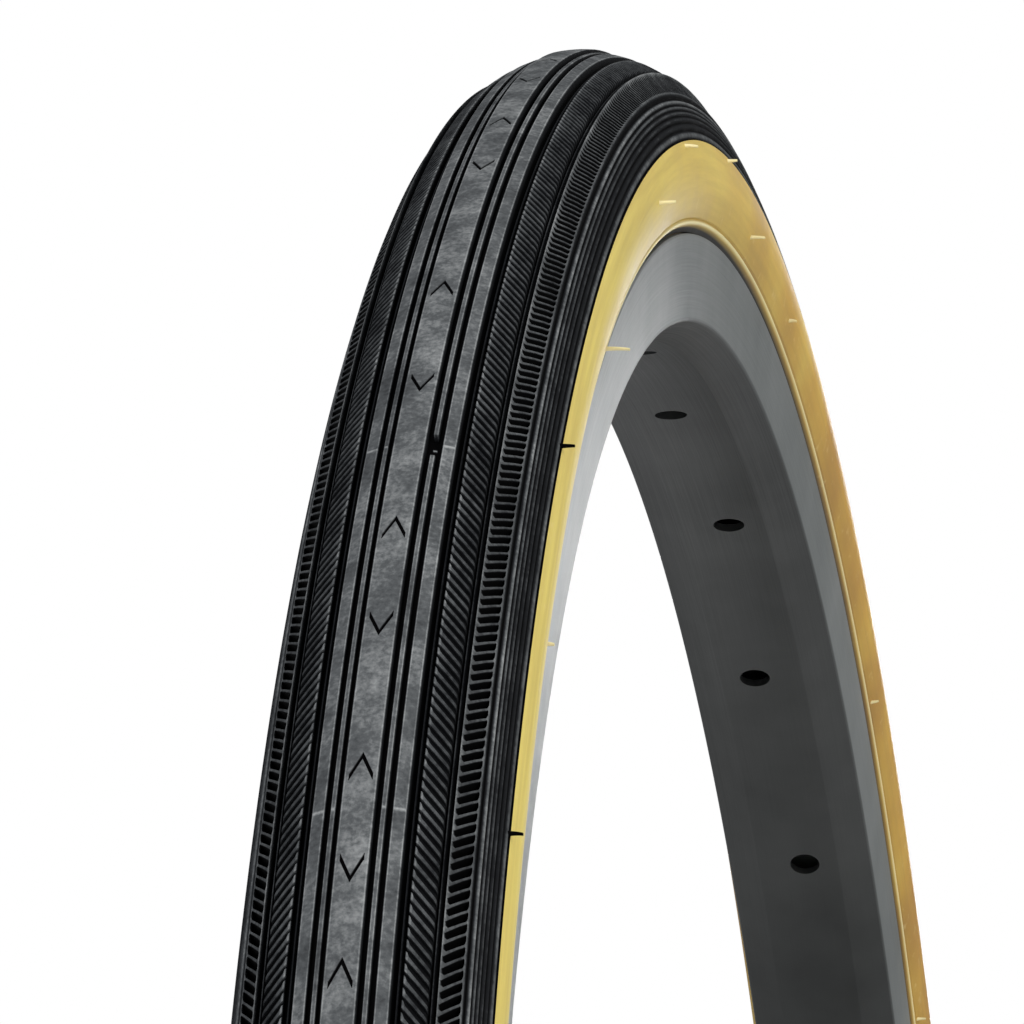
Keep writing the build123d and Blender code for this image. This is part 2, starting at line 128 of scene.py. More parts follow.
class Nodes:
    """Short calls for the nodes that the materials share."""

    def __init__(self, tree):
        self.tree = tree
        self.shader = tree.nodes["Principled BSDF"]
        self.position = tree.nodes.new("ShaderNodeTexCoord").outputs["Object"]

    def set(self, **values):
        for name, value in values.items():
            self.shader.inputs[name.replace("_", " ")].default_value = value

    def link(self, source, target):
        self.tree.links.new(source, target)

    def add(self, kind, **values):
        node = self.tree.nodes.new(kind)
        for name, value in values.items():
            setattr(node, name, value)
        return node

    def attribute(self, name):
        return self.add("ShaderNodeAttribute", attribute_name=name).outputs["Fac"]

    def math(self, operation, first, second=0.0, third=0.0, clamp=False):
        node = self.add("ShaderNodeMath", operation=operation, use_clamp=clamp)
        for socket, value in zip(node.inputs, (first, second, third)):
            if isinstance(value, (int, float)):
                socket.default_value = value
            else:
                self.link(value, socket)
        return node.outputs[0]

    def noise(self, scale, detail=4.0, roughness=0.5, place=None):
        node = self.add("ShaderNodeTexNoise")
        self.link(place or self.position, node.inputs["Vector"])
        node.inputs["Scale"].default_value = scale
        node.inputs["Detail"].default_value = detail
        node.inputs["Roughness"].default_value = roughness
        node.inputs["Distortion"].default_value = 0.0
        return node.outputs["Fac"]

    def ramp(self, source, stops):
        node = self.add("ShaderNodeValToRGB")
        self.link(source, node.inputs["Fac"])
        elements = node.color_ramp.elements
        while len(elements) < len(stops):
            elements.new(1.0)
        for element, (place, colour) in zip(elements, stops):
            element.position = place
            element.color = (*colour, 1.0)
        return node.outputs["Color"]

    def scale_range(self, source, low, high, to_low, to_high):
        node = self.add("ShaderNodeMapRange")
        self.link(source, node.inputs["Value"])
        for name, value in (("From Min", low), ("From Max", high), ("To Min", to_low), ("To Max", to_high)):
            node.inputs[name].default_value = value
        return node.outputs["Result"]

    def mix(self, factor, first, second):
        node = self.add("ShaderNodeMix", data_type="RGBA", blend_type="MIX")
        for socket, value in (("Factor", factor), ("A", first), ("B", second)):
            self.feed(node.inputs[socket], value)
        return node.outputs["Result"]

    def feed(self, socket, value):
        if isinstance(value, (int, float)):
            socket.default_value = value
        elif isinstance(value, tuple):
            socket.default_value = (*value, 1.0)
        else:
            self.link(value, socket)

    def wheel_place(self):
        """Distance from the axis and distance across, in metres, and angle round the wheel in radians."""
        split = self.add("ShaderNodeSeparateXYZ")
        self.link(self.position, split.inputs[0])
        x, y, z = split.outputs
        squares = self.math("ADD", self.math("MULTIPLY", x, x), self.math("MULTIPLY", z, z))
        return self.math("SQRT", squares), y, self.math("ARCTAN2", z, x)

    def round_grain(self, across_scale, around_scale):
        """Coordinates stretched round the wheel, for streaks and brushed lines."""
        out, across, angle = self.wheel_place()
        joined = self.add("ShaderNodeCombineXYZ")
        self.link(self.math("MULTIPLY", out, across_scale), joined.inputs[0])
        self.link(self.math("MULTIPLY", across, across_scale), joined.inputs[1])
        self.link(self.math("MULTIPLY", angle, around_scale), joined.inputs[2])
        return joined.outputs[0]

    def colour(self, value):
        self.link(value, self.shader.inputs["Base Color"])

    def rough(self, value):
        self.link(value, self.shader.inputs["Roughness"])

    def bump(self, height, distance, strength=1.0):
        node = self.add("ShaderNodeBump")
        node.inputs["Strength"].default_value = strength
        node.inputs["Distance"].default_value = distance
        self.link(height, node.inputs["Height"])
        if self.shader.inputs["Normal"].is_linked:
            self.link(self.shader.inputs["Normal"].links[0].from_socket, node.inputs["Normal"])
        self.link(node.outputs["Normal"], self.shader.inputs["Normal"])


# ---- Materials ----

def tread_look(nodes):
    """Black rubber: grooves stay black as painted shade, and rib tops are greyed as painted sheen."""
    tone = nodes.attribute("tone")
    cloud = nodes.noise(140, 5, 0.6)
    fine = nodes.noise(1400, 3, 0.6)
    grey = nodes.math("MULTIPLY", tone, nodes.scale_range(cloud, 0.3, 0.7, 0.78, 1.22))
    grey = nodes.math("MULTIPLY", grey, nodes.scale_range(fine, 0.3, 0.7, 0.85, 1.15), clamp=True)
    # Low tones are painted shade in grooves, pockets and engravings; high tones are painted sheen on tops and
    # painted highlights on edges.
    nodes.colour(nodes.ramp(grey, [(0.0, (0.0008, 0.0008, 0.001)), (0.35, (0.014, 0.015, 0.017)),
                                   (0.65, (0.092, 0.098, 0.103)), (1.0, (0.30, 0.31, 0.315))]))
    nodes.rough(nodes.scale_range(cloud, 0.3, 0.7, 0.62, 0.80))
    nodes.bump(fine, 0.00006, 0.5)
    nodes.set(IOR=1.09, Specular_IOR_Level=0.5)


def gum_look(nodes):
    """Gum rubber, blotched; painted light makes one side of the wheel yellower, painted shade darkens it near
    the rim, and a painted highlight makes the rim line pale.
    """
    out, across, angle = nodes.wheel_place()
    blotch = nodes.noise(26, 4, 0.55)
    streak = nodes.noise(1.0, 4, 0.6, nodes.round_grain(700, 9))
    speck = nodes.noise(420, 3, 0.6)
    base = nodes.ramp(blotch, [(0.32, (0.50, 0.225, 0.028)), (0.5, (0.70, 0.40, 0.060)),
                               (0.68, (0.80, 0.56, 0.12))])
    # Painted light: the gum is mixed towards yellow on one side of the wheel.
    painted_lit_side = nodes.scale_range(nodes.math("COSINE", angle), -0.60, 0.05, 0.8, 0.0)
    base = nodes.mix(painted_lit_side, base, (0.80, 0.66, 0.17))
    # Painted shade: the gum is darkened towards the rim.
    shade_toward_rim = nodes.scale_range(out, 0.3205, 0.3285, 0.75, 0.0)
    painted_rim_shade = nodes.math("MULTIPLY", shade_toward_rim, nodes.scale_range(blotch, 0.3, 0.7, 1.0, 0.5))
    base = nodes.mix(painted_rim_shade, base, (0.30, 0.19, 0.05))
    base = nodes.mix(nodes.scale_range(streak, 0.35, 0.75, 0.0, 0.35), base, (0.36, 0.215, 0.055))
    base = nodes.mix(nodes.scale_range(speck, 0.62, 0.8, 0.0, 0.4), base, (0.80, 0.62, 0.30))
    tone = nodes.attribute("tone")
    # Painted highlight: positive tones make the rim line pale; the gum vents get the same pale colour.
    rim_highlight_and_pale_vents = nodes.mix(nodes.math("MAXIMUM", tone, 0.0), base, (0.88, 0.78, 0.42))
    # Painted shadow: negative tones darken the gap between gum and rim nearly to black.
    painted_gap_shadow = nodes.math("MAXIMUM", nodes.math("MULTIPLY", tone, -1.0), 0.0)
    nodes.colour(nodes.mix(painted_gap_shadow, rim_highlight_and_pale_vents, (0.006, 0.005, 0.003)))
    nodes.rough(nodes.scale_range(blotch, 0.3, 0.7, 0.40, 0.56))
    nodes.bump(blotch, 0.0006, 0.25)
    nodes.bump(speck, 0.00012, 0.35)
    nodes.set(Specular_IOR_Level=0.4, Subsurface_Weight=0.05)


def rim_look(nodes):
    """Satin aluminium with fine lines round the ring; the inner bed is painted darker as painted shade."""
    lines = nodes.noise(1.0, 5, 0.65, nodes.round_grain(5200, 7))
    cloud = nodes.noise(22, 4, 0.6)
    out, across, angle = nodes.wheel_place()
    patches = nodes.scale_range(cloud, 0.3, 0.7, 0.0, 1.0)
    side = nodes.mix(patches, (0.22, 0.24, 0.24), (0.36, 0.38, 0.38))
    # The inner bed's dark colour is painted shade.
    painted_shade_bed = nodes.mix(patches, (0.035, 0.037, 0.037), (0.065, 0.068, 0.068))
    nodes.colour(nodes.mix(nodes.scale_range(out, 0.3068, 0.3076, 0.0, 1.0), painted_shade_bed, side))
    nodes.rough(nodes.scale_range(lines, 0.3, 0.7, 0.36, 0.50))
    nodes.bump(lines, 0.00003, 0.35)
    nodes.bump(cloud, 0.0004, 0.10)
    nodes.set(Metallic=0.80)


def plain_look(base, other, scale, rough_low, rough_high, metal=0.0, grain=0.00002):
    """A look for small parts: two close colours over noise, with a fine grain."""
    def build(nodes):
        cloud = nodes.noise(scale, 4, 0.6)
        fine = nodes.noise(scale * 9, 3, 0.6)
        nodes.colour(nodes.mix(nodes.scale_range(cloud, 0.3, 0.7, 0.0, 1.0), base, other))
        nodes.rough(nodes.scale_range(fine, 0.3, 0.7, rough_low, rough_high))
        nodes.bump(fine, grain, 0.5)
        nodes.set(Metallic=metal)
    return build


def cloth_look(base, other, threads):
    """Woven cloth: two crossed sets of threads, with cloudy roughness."""
    def build(nodes):
        out, across, angle = nodes.wheel_place()
        round_way = nodes.math("MULTIPLY", angle, 0.33 * threads)
        cross_way = nodes.math("MULTIPLY", across, threads)
        first = nodes.math("SINE", nodes.math("ADD", round_way, cross_way))
        second = nodes.math("SINE", nodes.math("SUBTRACT", round_way, cross_way))
        weave = nodes.math("MAXIMUM", first, second)
        cloud = nodes.noise(60, 3)
        nodes.colour(nodes.mix(nodes.scale_range(weave, -0.5, 1.0, 0.0, 1.0), base, other))
        nodes.rough(nodes.scale_range(cloud, 0.3, 0.7, 0.8, 0.95))
        nodes.bump(weave, 0.0001, 0.6)
        nodes.set(Sheen_Weight=0.15)
    return build


LOOK_RULES = {
    "tread_rubber": tread_look,
    "gum_rubber": gum_look,
    "rim_alloy": rim_look,
    "casing_cloth": cloth_look((0.30, 0.22, 0.12), (0.50, 0.40, 0.25), 9000),
    "chafer_cloth": cloth_look((0.16, 0.11, 0.06), (0.28, 0.21, 0.13), 9000),
    "tape_cloth": cloth_look((0.62, 0.60, 0.54), (0.80, 0.78, 0.72), 7000),
    "bead_steel": plain_look((0.42, 0.41, 0.39), (0.55, 0.54, 0.52), 300, 0.3, 0.45, 1.0),
    "black_rubber": plain_look((0.012, 0.012, 0.012), (0.025, 0.025, 0.026), 250, 0.55, 0.75),
    "tube_rubber": plain_look((0.015, 0.015, 0.015), (0.04, 0.04, 0.042), 120, 0.6, 0.8),
    "plated_brass": plain_look((0.56, 0.53, 0.46), (0.66, 0.64, 0.58), 500, 0.18, 0.32, 1.0),
    "raw_brass": plain_look((0.60, 0.40, 0.13), (0.72, 0.52, 0.22), 600, 0.22, 0.38, 1.0),
    "gasket_plastic": plain_look((0.42, 0.04, 0.02), (0.55, 0.08, 0.04), 400, 0.4, 0.55),
    "cap_plastic": plain_look((0.010, 0.010, 0.011), (0.022, 0.022, 0.024), 500, 0.36, 0.52),
}
LOOKS = {name: material(name, rule) for name, rule in LOOK_RULES.items()}


# ---- Mesh helpers ----

def add_piece(name, vertices, faces, slot, body="wheel", tone=None, smooth_angle=35, replaces=()):
    """A mesh piece in millimetres, with its material, riding on a body."""
    mesh = bpy.data.meshes.new(name)
    mesh.from_pydata((np.asarray(vertices) * MM).tolist(), [], faces)
    mesh.validate()
    if tone is not None:
        layer = mesh.attributes.new("tone", "FLOAT", "POINT")
        layer.data.foreach_set("value", np.asarray(tone, dtype=np.float32).ravel())
    piece = bpy.data.objects.new(name, mesh)
    bpy.context.scene.collection.objects.link(piece)
    mesh.materials.append(LOOKS[slot])
    mesh.shade_smooth()
    mesh.set_sharp_from_angle(angle=math.radians(smooth_angle))
    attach(piece, body)
    if replaces:
        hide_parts(*replaces)
    return piece


def wheel_points(angle, across, out):
    """Points at angles round the wheel, distances across it and distances out from its axis."""
    angle, across, out = np.broadcast_arrays(angle, across, out)
    return np.stack([out * np.cos(angle), across, out * np.sin(angle)], axis=-1)


def ring_faces(steps, loop):
    """Quads of a closed ring of closed loops."""
    step, point = np.meshgrid(np.arange(steps), np.arange(loop), indexing="ij")
    next_step = (step + 1) % steps
    next_point = (point + 1) % loop
    quads = np.stack([step * loop + point, step * loop + next_point,
                      next_step * loop + next_point, next_step * loop + point], axis=-1)
    return quads.reshape(-1, 4).tolist()


def ring(name, angle, across, out, slot, tone=None, flip=False, **more):
    """A closed ring: arrays of one row per step round the wheel and one column per loop point."""
    points = wheel_points(angle, across, out)
    steps, loop = points.shape[:2]
    faces = ring_faces(steps, loop)
    if flip:
        faces = [face[::-1] for face in faces]
    if tone is not None:
        tone = np.broadcast_to(tone, (steps, loop))
    return add_piece(name, points.reshape(-1, 3), faces, slot, tone=tone, **more)


def crown(across, height=0.0):
    """Distance out of the tread's crown arc, raised by a height square to it."""
    across = np.asarray(across, dtype=float)
    return CROWN_CENTRE + np.sqrt((CROWN_RADIUS + height) ** 2 - across**2)


def arc_points(start, middle, end, count):
    """Points along the arc through three points."""
    (ax, ay), (bx, by), (cx, cy) = start, middle, end
    d = 2 * (ax * (by - cy) + bx * (cy - ay) + cx * (ay - by))
    a2, b2, c2 = ax * ax + ay * ay, bx * bx + by * by, cx * cx + cy * cy
    ux = (a2 * (by - cy) + b2 * (cy - ay) + c2 * (ay - by)) / d
    uy = (a2 * (cx - bx) + b2 * (ax - cx) + c2 * (bx - ax)) / d
    first = math.atan2(ay - uy, ax - ux)
    last = math.atan2(cy - uy, cx - ux)
    if last - first > math.pi:
        last -= TURN
    if first - last > math.pi:
        last += TURN
    radius = math.hypot(ax - ux, ay - uy)
    return [(ux + radius * math.cos(t), uy + radius * math.sin(t)) for t in np.linspace(first, last, count)]


# ---- Tread ----

# Tones run from 0, groove black as painted shade, to 1, a pale edge as painted highlight.
EDGE_HIGHLIGHT_TONE = 0.86
ANGLES = np.arange(RING_STEPS) * TURN / RING_STEPS


def marked_angles(*marks):
    """The even steps round the wheel with closely spaced extra steps at some angles in degrees."""
    extra = [math.radians(mark) + shift * MARK_STEP for mark in marks for shift in range(-6, 7)]
    return np.unique(np.round(np.concatenate([ANGLES, extra]), 9))


def rib_half():
    """The tread's outline from the centre rib's edge to the ladder band, with the tone of each point."""
    points = []

    def at(across, height, tone):
        points.append((across, float(crown(across, height)), tone))

    def rib(first, last, depth, tone, soft):
        at(first, -depth, 0.0)
        at(first + 0.05, -0.10, 0.35)
        at(first + 0.17, 0.0, EDGE_HIGHLIGHT_TONE)
        at(first + 0.17 + soft, 0.0, tone)
        at(last - 0.17 - soft, 0.0, tone)
        at(last - 0.17, 0.0, EDGE_HIGHLIGHT_TONE)
        at(last - 0.05, -0.10, 0.35)
        at(last, -depth, 0.0)

    rib(*THIN_RIB, 1.0, 0.60, 0.06)
    rib(*SMOOTH_RIB, 1.0, 0.64, 0.12)
    ridge_in_groove = ((6.05, -1.4, 0.0), (6.20, -0.75, 0.20), (6.30, -0.70, 0.34),
                       (6.40, -0.75, 0.20), (6.52, -1.4, 0.0))
    ridge_by_ladder = ((9.80, -1.0, 0.0), (9.88, -0.34, 0.30), (9.97, -0.26, 0.46),
                       (10.06, -0.34, 0.30), (10.16, -1.0, 0.0))
    for across, height, tone in (*ridge_in_groove, *ridge_by_ladder, (12.95, -1.0, 0.0)):
        at(across, height, tone)
    return points


def tread_base():
    """Everything under the rows: grooves, plain ribs and the inside against the casing."""
    half = [(1.9, float(crown(1.9, -1.0)), 0.0)] + rib_half()
    under = [(12.95, CASING_CENTRE + math.sqrt(CASING_RADIUS**2 - 12.95**2), 0.0)]
    inside = [(CASING_RADIUS * math.sin(t), CASING_CENTRE + CASING_RADIUS * math.cos(t), 0.0)
              for t in np.linspace(0.95, -0.95, 13)]
    mirror = [(-across, out, tone) for across, out, tone in reversed(half + under)]
    loop = np.array(mirror + half + under + inside)
    angle = marked_angles(*MOULD_JOINTS)
    across = loop[None, :, 0]
    out = np.repeat(loop[None, :, 1], len(angle), axis=0)
    tone = np.repeat(loop[None, :, 2], len(angle), axis=0)
    side, start, end = JOINT_GAP
    thin = (side * across[0] >= THIN_RIB[0]) & (side * across[0] <= THIN_RIB[1]) & (loop[:, 1] > CROWN_CENTRE)
    for joint, gapped in MOULD_JOINTS.items():
        away = (angle - math.radians(joint)) * CROWN_OUT
        gap = gapped & (away > start) & (away < end)
        # The gap's floor is painted black as painted shade.
        out[np.ix_(gap, thin)] = crown(across[0][thin], -1.0)
        tone[np.ix_(gap, thin)] = 0.0
        flash = np.abs(away) < 0.5 * MARK_STEP * CROWN_OUT
        raised = tone[0] > 0.5
        out[np.ix_(flash, raised)] += FLASH_HEIGHT
        tone[np.ix_(flash, raised)] = 1.0
    ring("tread_base", angle[:, None], across, out, "tread_rubber", tone=tone, replaces=["tread"], flip=True)


def shoulder(side, name):
    """Fine ridges round the shoulder, from the ladder band to the gum."""
    start = (13.06, float(crown(13.06)))
    line = arc_points(start, (14.55, 336.75), TREAD_EDGE, 57)
    points = []
    for index, (across, out) in enumerate(line):
        place = (across - start[0]) / (TREAD_EDGE[0] - start[0])
        height = -SHOULDER_GROOVE
        tone = 0.0
        for middle, half_width, top, shade in SHOULDER_RIDGES:
            away = abs(place - middle)
            if away < half_width:
                fall = (away / half_width) ** 2
                height = max(height, top * (1 - fall) - SHOULDER_GROOVE * fall)
                tone = max(tone, shade * (1 - fall))
        if index == len(line) - 1:
            height = 0.0
        length = math.hypot(across, out - CROWN_CENTRE)
        scale = 1 + height / length
        points.append((across * scale, CROWN_CENTRE + (out - CROWN_CENTRE) * scale, tone))
    edge_angle = math.atan2(TREAD_EDGE[1] - CASING_CENTRE, TREAD_EDGE[0])
    under_angle = math.acos(12.9 / CASING_RADIUS)
    inside = [(CASING_RADIUS * math.cos(t), CASING_CENTRE + CASING_RADIUS * math.sin(t), 0.0)
              for t in np.linspace(edge_angle, under_angle, 6)]
    inside.append((12.9, float(crown(12.9, -1.0)), 0.0))
    loop = np.array(points + inside)
    ring(name, ANGLES[:, None], side * loop[None, :, 0], loop[None, :, 1], "tread_rubber",
         tone=loop[None, :, 2], flip=side > 0)


def chevron_places():
    """Angles in degrees and directions of the vees: uneven where the moulds met, even elsewhere."""
    places = list(zip(UNEVEN_CHEVRONS, [(-1) ** index for index in range(len(UNEVEN_CHEVRONS))]))
    first = UNEVEN_CHEVRONS[-1]
    gap = 360 - first + UNEVEN_CHEVRONS[0]
    count = 2 * round(gap / CHEVRON_SPACING / 2) - 1 + len(UNEVEN_CHEVRONS) % 2
    for index in range(1, count):
        places.append((first + gap * index / count, (-1) ** (len(UNEVEN_CHEVRONS) - 1 + index)))
    return places


def centre_rib():
    """The smooth middle rib, engraved with vees that point one way and the other in turn."""
    half_width = 2.08
    height = 0.40
    arm = 1.4
    slope = 2.4
    half_stroke = 0.58
    wall = 0.08
    margin = half_stroke + 0.6
    depth = 0.35
    rib_out = CROWN_OUT + height
    plain_step = 0.7
    across = np.array([-half_width, -2.03, -1.9, -1.75, -arm - 0.06, -arm, -0.7, 0,
                       0.7, arm, arm + 0.06, 1.75, 1.9, 2.03, half_width, 1.6, -1.6])
    top = crown(across, height)
    top[[0, 14]] = crown(half_width, -1.0)
    top[[1, 13]] = crown(2.03, height - 0.1)
    top[[15, 16]] = crown(1.6, -1.2)
    plain = np.array([0, 0.35, EDGE_HIGHLIGHT_TONE] + [0.68] * 9 + [EDGE_HIGHLIGHT_TONE, 0.35, 0, 0, 0])
    engraved = np.arange(5, 10)
    bend = np.zeros(len(across))
    bend[3:12] = -np.minimum(np.abs(across[3:12]), arm) * slope
    rows = []
    places = sorted((angle % 360, way) for angle, way in chevron_places())
    for index, (place, way) in enumerate(places):
        following = places[(index + 1) % len(places)][0] + (360 if index + 1 == len(places) else 0)
        for shift, low in ((-margin, 0), (-half_stroke, 0), (-half_stroke + wall, 1),
                           (half_stroke - wall, 1), (half_stroke, 0), (margin, 0)):
            rows.append((math.radians(place) + (shift + way * bend) / rib_out, low))
        following_way = places[(index + 1) % len(places)][1]
        clear = math.degrees((margin + 0.1) / rib_out)
        arms = math.degrees(arm * slope / rib_out)
        start = place + clear + (arms if way < 0 else 0)
        end = following - clear - (arms if following_way > 0 else 0)
        for angle in np.linspace(start, end, max(2, round((end - start) / plain_step))):
            rows.append((np.full(len(across), math.radians(angle)), 0))
    angle = np.array([row[0] for row in rows])
    low = np.array([row[1] for row in rows])
    out = np.broadcast_to(top, angle.shape).copy()
    tone = np.broadcast_to(plain, angle.shape).copy()
    # The engraved vees are painted black as painted shade.
    for row in np.flatnonzero(low):
        out[row, engraved] -= depth
        tone[row, engraved] = 0.0
    ring("tread_centre_rib", angle, across[None, :], out, "tread_rubber", tone=tone, flip=True)


def slashed_row(side, name):
    """A rib cut by slanting grooves, with hooked ends along its inner edge that are brightened as painted
    highlight.
    """
    across = np.array([6.87, 6.91, 7.05, 7.28, 8.3, 9.35, 9.58, 9.66, 9.66, 6.87])
    height = np.array([-0.9, -0.10, 0.0, 0.0, 0.0, 0.0, -0.10, -0.9, -1.4, -1.4])
    tone = np.array([0.0, 0.58, 0.76, 0.54, 0.46, 0.46, 0.44, 0.0, 0, 0])
    early = np.array([0.30, 0.30, 0.26, 0.06, 0, 0, 0, 0, 0, 0])
    phases = np.array([0.0, 0.34, 0.46, 0.88])
    sunk = np.tile([0, 0, 1, 1], ROW_COUNT)[:, None]
    step = np.repeat(np.arange(ROW_COUNT), 4)
    first = np.tile([1, 0, 0, 0], ROW_COUNT)[:, None]
    last = np.tile([0, 0, 0, 1], ROW_COUNT)[:, None]
    phase = step[:, None] + np.tile(phases, ROW_COUNT)[:, None] - (first + last) * early[None, :]
    skew = SLASH_SLOPE * (across - across[0]) / crown(across)
    skew[8] = skew[7]
    open_part = (height > -0.5)[None, :]
    out = crown(across[None, :], height[None, :] - SLASH_DEPTH * sunk * open_part)
    # The sunk floors of the slashes are darkened as painted shade.
    shade = np.where(sunk > 0, 0.22, 1.0) * tone[None, :]
    ring(name, phase * TURN / ROW_COUNT + skew[None, :], side * across[None, :], out, "tread_rubber",
         tone=shade, flip=side > 0)


def ladder_row(side, name):
    """Deep pockets between slanting rungs, from a raised ridge, painted pale as painted highlight, to a plain
    one.
    """
    across = np.array([10.58, 10.61, 10.65, 10.74, 10.80, 11.02, 12.10,
                       12.66, 12.76, 12.84, 12.96, 13.04, 13.04, 10.58])
    height = np.array([-0.9, 0.30, 0.42, 0.42, 0.34, 0.10, 0.0, -0.02, 0.03, 0.06, 0.06, -0.10, -1.0, -1.0])
    tone = np.array([0.0, 0.50, 0.70, 0.70, 0.64, 0.54, 0.50, 0.50, 0.56, 0.62, 0.52, 0.05, 0, 0])
    half_rung = np.array([0.30, 0.30, 0.30, 0.30, 0.30, 0.13, 0.10, 0.10, 0.14, 0.3, 0.3, 0.3, 0.3, 0.3])
    pocket = np.array([0, 0, 0, 0, 0.70, 0.95, 0.95, 0.95, 0.7, 0, 0, 0, 0, 0])
    centre = np.repeat(np.arange(ROW_COUNT), 5)[:, None]
    edge = np.tile([-1, 1, 1, 1, -1], ROW_COUNT)[:, None]
    wall = np.tile([0, 0, 0.012, 0.05, 0.05], ROW_COUNT)[:, None]
    sunk = np.tile([0, 0, 0.12, 1, 1], ROW_COUNT)[:, None]
    turn_on = np.tile([0, 0, 0, 0, 1], ROW_COUNT)[:, None]
    phase = centre + turn_on + edge * (half_rung[None, :] + wall)
    skew = -LADDER_SLOPE * (across - 10.8) / crown(across)
    skew[12] = skew[11]
    skew[13] = skew[0]
    out = crown(across[None, :], height[None, :] - pocket[None, :] * sunk)
    # Pocket floors get tone 0, painted black as painted shade.
    shade = np.where(sunk * (pocket > 0)[None, :] > 0, 0.0, 1.0) * tone[None, :]
    ring(name, phase * TURN / ROW_COUNT + skew[None, :], side * across[None, :], out, "tread_rubber",
         tone=shade, flip=side > 0)


# ---- Gum sidewalls ----

def gum_half():
    """The sidewall's outside with its rim line, then its inside against the casing."""
    outside = arc_points(TREAD_EDGE, WIDEST, GUM_FOOT, 22)
    points = [(across, out, 0.0) for across, out in outside[:-3]]
    # The rim line's tone 1 is a painted highlight; the negative tones in the gap under it are painted shadow.
    points += [(14.10, 321.85, 0.0), (14.28, 321.62, 0.2), (14.36, 321.38, 1.0),
               (14.26, 321.12, 0.6), (13.90, 320.85, -0.3), (13.30, 320.62, -1.0), (13.00, 320.20, -1.0),
               (12.90, 319.98, -1.0), (12.38, 319.98, -1.0), (12.0, 319.98, 0.0)]
    inside = [(CASING_RADIUS * math.cos(t), CASING_CENTRE + CASING_RADIUS * math.sin(t), 0.0)
              for t in np.radians(np.linspace(-32, 15.6, 12))]
    return points + inside


def gum(side, name, node):
    loop = np.array(gum_half())
    ring(name, ANGLES[:, None], side * loop[None, :, 0], loop[None, :, 1], "gum_rubber",
         tone=loop[None, :, 2], replaces=[node], flip=side > 0)


def skin_at(out):
    """Distance across of the sidewall's outside at a distance from the axis."""
    line = sorted((point[1], point[0]) for point in arc_points(TREAD_EDGE, WIDEST, GUM_FOOT, 60))
    return float(np.interp(out, [place[0] for place in line], [place[1] for place in line]))


def whisker(angle, out, length, bend, lean):
    """Rings of points along one tapering, slightly curved whisker on the left side."""
    sides = 7
    stations = np.linspace(-0.35, 1, 7)
    root = skin_at(out)
    rings = []
    for place in stations:
        radius = VENT_RADIUS * (1.15 - 0.45 * max(place, 0)) * (1.25 if place < 0.05 else 1)
        along = max(place, 0)
        centre_out = out + bend * along**2
        centre_turn = math.radians(angle) + lean * along**1.5 / out
        for index in range(sides):
            turn = index * TURN / sides
            r = centre_out + radius * math.cos(turn)
            rings.append(wheel_points(centre_turn + radius * math.sin(turn) / out, root + place * length, r))
    faces = []
    for station in range(len(stations) - 1):
        for index in range(sides):
            a = station * sides + index
            b = station * sides + (index + 1) % sides
            faces.append([a, b, b + sides, a + sides])
    faces.append(list(range(sides))[::-1])
    faces.append([(len(stations) - 1) * sides + index for index in range(sides)])
    return [point.tolist() for point in rings], faces


def whiskers(side, word):
    """The moulding vents of one side: black ones on the tread's edge, gum ones below."""
    rng = random.Random(7 if side > 0 else 12)
    rows = {"tread_rubber": [(angle, TREAD_VENT_OUT) for angle in TREAD_VENTS],
            "gum_rubber": WALL_VENTS + [(angle, LOW_VENT_OUT) for angle in LOW_VENTS]}
    for slot, places in rows.items():
        parts = []
        for angle, out in places:
            bare = WORN_OFF[side][0] < angle % 360 < WORN_OFF[side][1]
            if bare and (slot == "tread_rubber" or side > 0):
                continue
            full = LONG_VENT if out > LONG_VENTS_FROM else SHORT_VENT
            length = VENT_LENGTHS.get(angle, full * rng.uniform(0.62, 0.98))
            parts.append(whisker(angle, out, length, rng.uniform(-0.3, 0.1), rng.uniform(-0.3, 0.3)))
        points, faces = joined(parts)
        points = np.array(points) * (1, side, 1)
        if side < 0:
            faces = [face[::-1] for face in faces]
        tone = np.full(len(points), 1.0 if slot == "gum_rubber" else 0.0)
        add_piece("vents_" + slot.split("_")[0] + "_" + word, points, faces, slot, tone=tone, smooth_angle=60)


# ---- Rim ----

BED = 304.25
WELL = 312.6
FLANGE = 319.8
SPOKES = 36
SPOKE_STAGGER = 1.18
SPOKE_HOLE_RADIUS = 2.55
ACCESS_HOLE_RADIUS = 4.25
VALVE_HOLE_RADIUS = 4.3


def rim_loops():
    """Two sections of the rim: its whole outline, and the hollow inside."""
    outer = [(6.8, BED), (7.1, BED + 0.06), (12.15, 306.80), (12.40, 307.02), (12.50, 307.30), (13.60, 318.9),
             (13.67, 319.45), (13.50, 319.72), (13.22, FLANGE), (12.85, FLANGE), (12.48, 319.7),
             (12.40, 319.35),
             (12.40, 315.0), (8.7, 315.0), (7.7, WELL)]
    inner = [(6.8, BED + 1.3), (11.16, 307.8), (11.7, 313.7), (10.0, 313.7), (9.0, 311.3)]
    full = outer + [(-a, r) for a, r in reversed(outer)]
    hollow = inner + [(-a, r) for a, r in reversed(inner)]
    return full, hollow


def cylinder(radius, start, end, sides=40):
    """A closed cylinder between two points, for cutting holes."""
    axis = (end - start).normalized()
    side_one = axis.orthogonal().normalized()
    side_two = axis.cross(side_one)
    points = []
    for place in (start, end):
        for index in range(sides):
            turn = index * TURN / sides
            points.append(place + radius * (math.cos(turn) * side_one + math.sin(turn) * side_two))
    faces = [[i, (i + 1) % sides, sides + (i + 1) % sides, sides + i] for i in range(sides)]
    faces += [list(range(sides))[::-1], list(range(sides, 2 * sides))]
    return points, faces


def joined(parts):
    """One list of points and faces from several."""
    points = []
    faces = []
    for more_points, more_faces in parts:
        first = len(points)
        points += more_points
        faces += [[first + index for index in face] for face in more_faces]
    return points, faces


